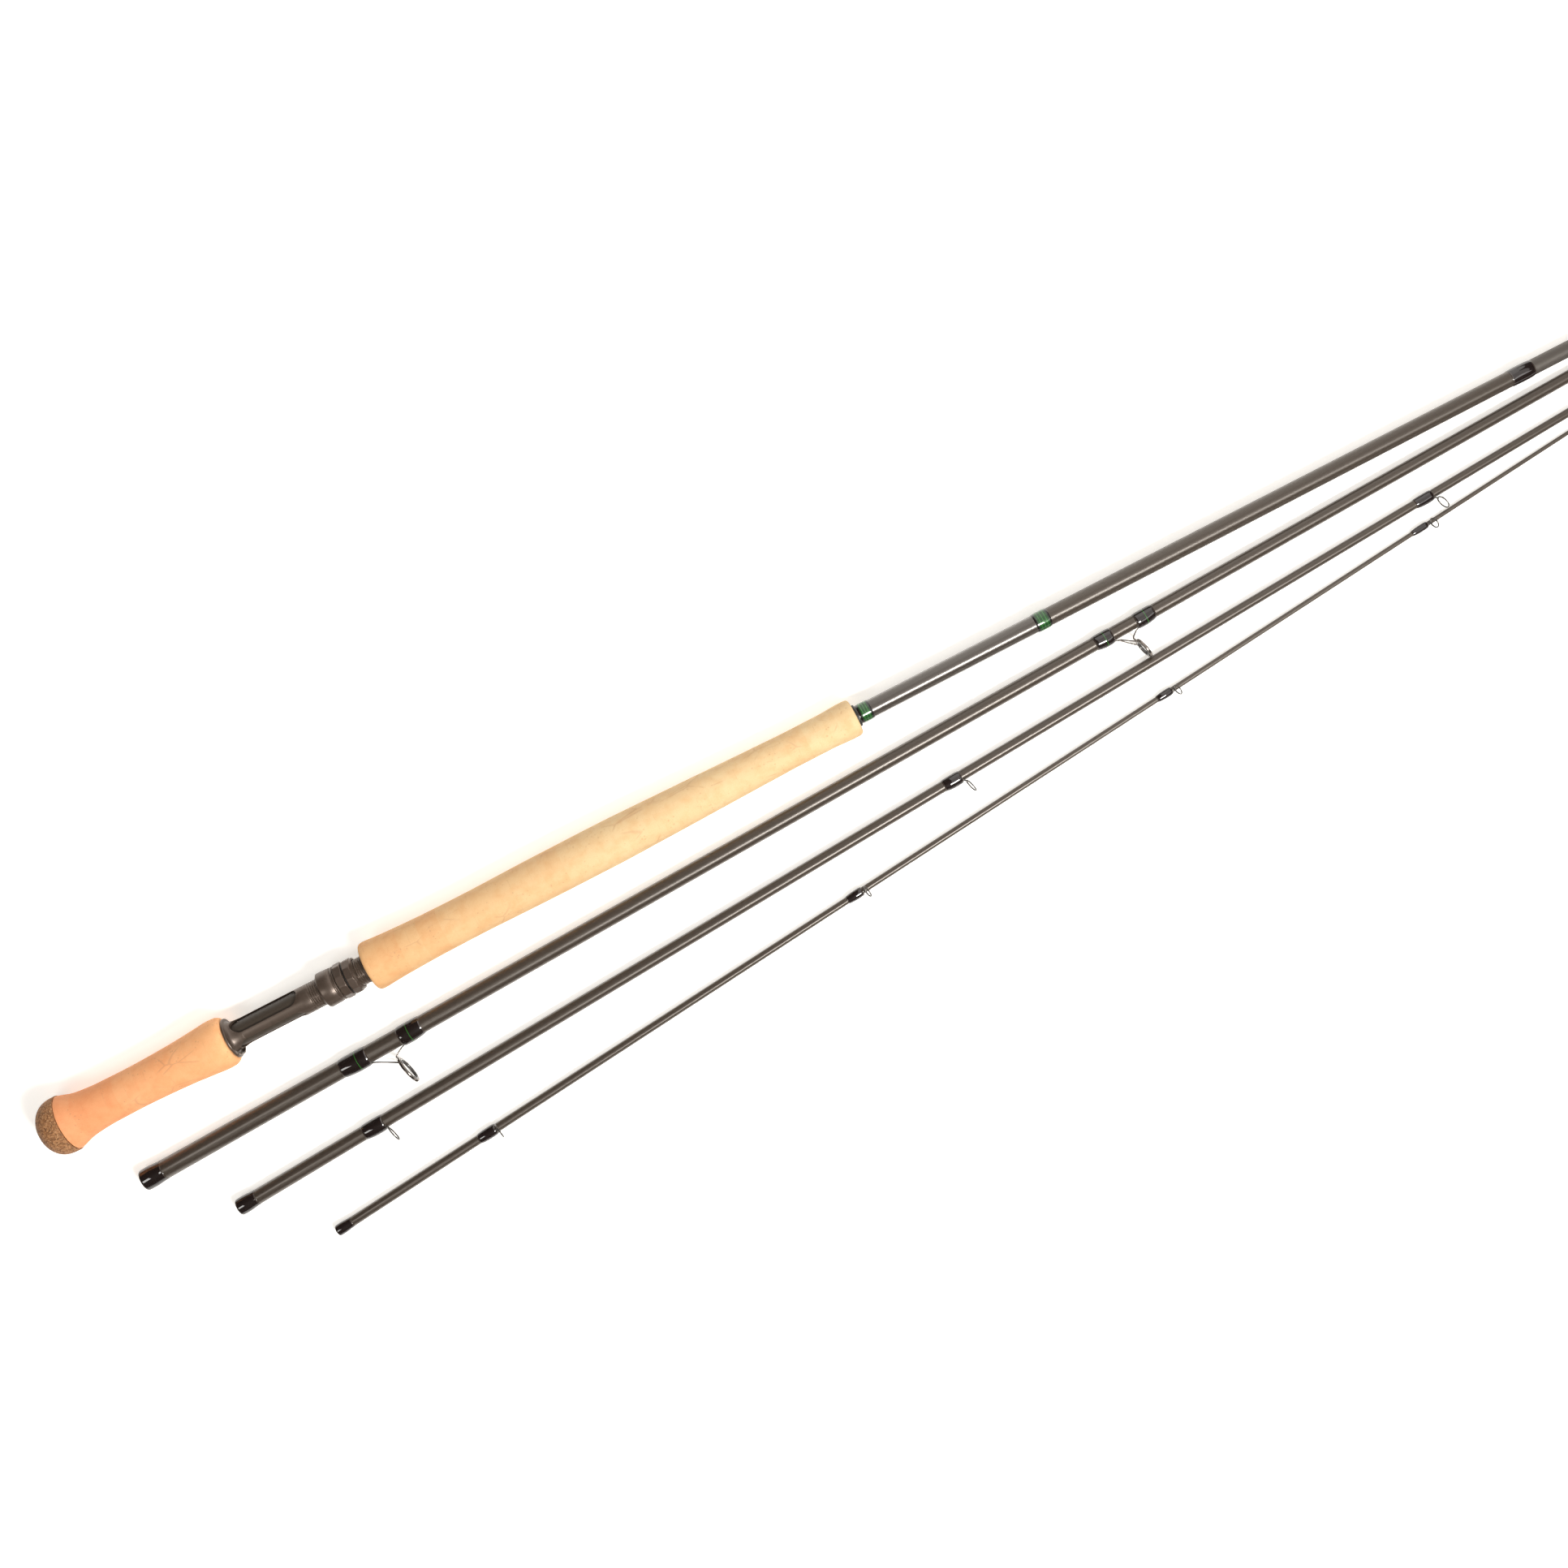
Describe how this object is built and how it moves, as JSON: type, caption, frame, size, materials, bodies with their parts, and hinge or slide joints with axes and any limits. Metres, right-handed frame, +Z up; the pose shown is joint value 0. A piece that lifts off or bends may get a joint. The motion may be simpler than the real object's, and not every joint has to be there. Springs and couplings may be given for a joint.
{
  "type": "fly rod",
  "caption": "Two-handed fly rod taken apart into its sections: cork handle with screw-locked reel seat, hollow tapered blanks with sockets, line guides and tip top.",
  "frame": {"origin": "centre of the set's box in X and Y, on the table it lies on", "axes": "+X along the butt section towards its upper end, +Z up, the other sections lie on the -Y side with their guides pointing to -Y"},
  "size_m": [1.1544, 0.1448, 0.0335],
  "materials": {
    "cap": "matt, speckled rubberised cork",
    "lower_cork": "sanded orange cork",
    "upper_cork": "sanded cork, orange fading to pale yellow",
    "seat_metal": "satin gunmetal anodised",
    "nut_metal": "satin gunmetal anodised",
    "insert": "dark woven carbon",
    "bushing": "matt black",
    "black_trim": "satin black",
    "green_thread": "metallic green thread under gloss epoxy",
    "blank": "ribbed charcoal-brown carbon",
    "black_thread": "black thread under gloss epoxy",
    "ceramic": "polished dark ceramic",
    "guide_frame": "polished stainless steel",
    "guide_wire": "polished gunmetal wire"
  },
  "bodies": {
    "butt_section": {"butt_blank": "blank", "butt_cap": "cap", "butt_ferrule_wrap": "black_thread", "fixed_hood": "seat_metal", "green_wrap_lower": "green_thread", "green_wrap_upper": "green_thread", "lower_grip": "lower_cork", "seat_barrel": "seat_metal", "seat_bushing_front": "bushing", "seat_bushing_rear": "bushing", "seat_end_ring": "black_trim", "seat_insert": "insert", "upper_grip": "upper_cork", "winding_check": "black_trim"},
    "sliding_hood": {"sliding_hood": "seat_metal"},
    "hood_nut": {"hood_nut": "nut_metal"},
    "lock_washer": {"lock_washer": "black_trim"},
    "lock_nut": {"lock_nut": "nut_metal"},
    "second_section": {"section2_blank": "blank", "section2_ferrule_wrap": "black_thread", "stripping_guide_1_frame": "guide_frame", "stripping_guide_1_front_wrap": "black_thread", "stripping_guide_1_rear_wrap": "black_thread", "stripping_guide_1_ring": "ceramic", "stripping_guide_2_frame": "guide_frame", "stripping_guide_2_front_wrap": "black_thread", "stripping_guide_2_rear_wrap": "black_thread", "stripping_guide_2_ring": "ceramic"},
    "third_section": {"section3_blank": "blank", "section3_ferrule_wrap": "black_thread", "section3_guide_1": "guide_wire", "section3_guide_1_wrap": "black_thread", "section3_guide_2": "guide_wire", "section3_guide_2_wrap": "black_thread", "section3_guide_3": "guide_wire", "section3_guide_3_wrap": "black_thread"},
    "tip_section": {"tip_blank": "blank", "tip_ferrule_wrap": "black_thread", "tip_guide_1": "guide_wire", "tip_guide_1_wrap": "black_thread", "tip_guide_2": "guide_wire", "tip_guide_2_wrap": "black_thread", "tip_guide_3": "guide_wire", "tip_guide_3_wrap": "black_thread", "tip_guide_4": "guide_wire", "tip_guide_4_wrap": "black_thread", "tip_guide_5": "guide_wire", "tip_guide_5_wrap": "black_thread", "tip_guide_6": "guide_wire", "tip_guide_6_wrap": "black_thread", "tip_top": "guide_wire", "tip_top_wrap": "black_thread"}
  },
  "joints": [
    {"name": "hood_slide", "type": "slide", "parent": "butt_section", "child": "sliding_hood", "axis": [0.9999, 0, -0.0108], "range_m": [-0.017, 0]},
    {"name": "hood_nut_spin", "type": "hinge", "parent": "sliding_hood", "child": "hood_nut", "pos_m": [-0.38721, 0.05563, 0.01486], "axis": [0.9999, 0, -0.0108], "range_deg": [-4819.9, 0]},
    {"name": "lock_slide", "type": "slide", "parent": "butt_section", "child": "lock_washer", "axis": [0.9999, 0, -0.0108], "range_m": [0, 0.0048]},
    {"name": "lock_nut_spin", "type": "hinge", "parent": "lock_washer", "child": "lock_nut", "pos_m": [-0.38721, 0.05563, 0.01486], "axis": [0.9999, 0, -0.0108], "range_deg": [0, 1361.6]},
    {"name": "second_section_lift", "type": "slide", "parent": "butt_section", "child": "second_section", "axis": [0, 0, 1], "range_m": [0, 0.06]},
    {"name": "third_section_lift", "type": "slide", "parent": "butt_section", "child": "third_section", "axis": [0, 0, 1], "range_m": [0, 0.06]},
    {"name": "tip_section_lift", "type": "slide", "parent": "butt_section", "child": "tip_section", "axis": [0, 0, 1], "range_m": [0, 0.06]}
  ],
  "couplings": [
    {"joint": "hood_nut_spin", "follows": "hood_slide", "rad_per_m": 4947.4},
    {"joint": "lock_nut_spin", "follows": "lock_slide", "rad_per_m": 4947.4}
  ]
}
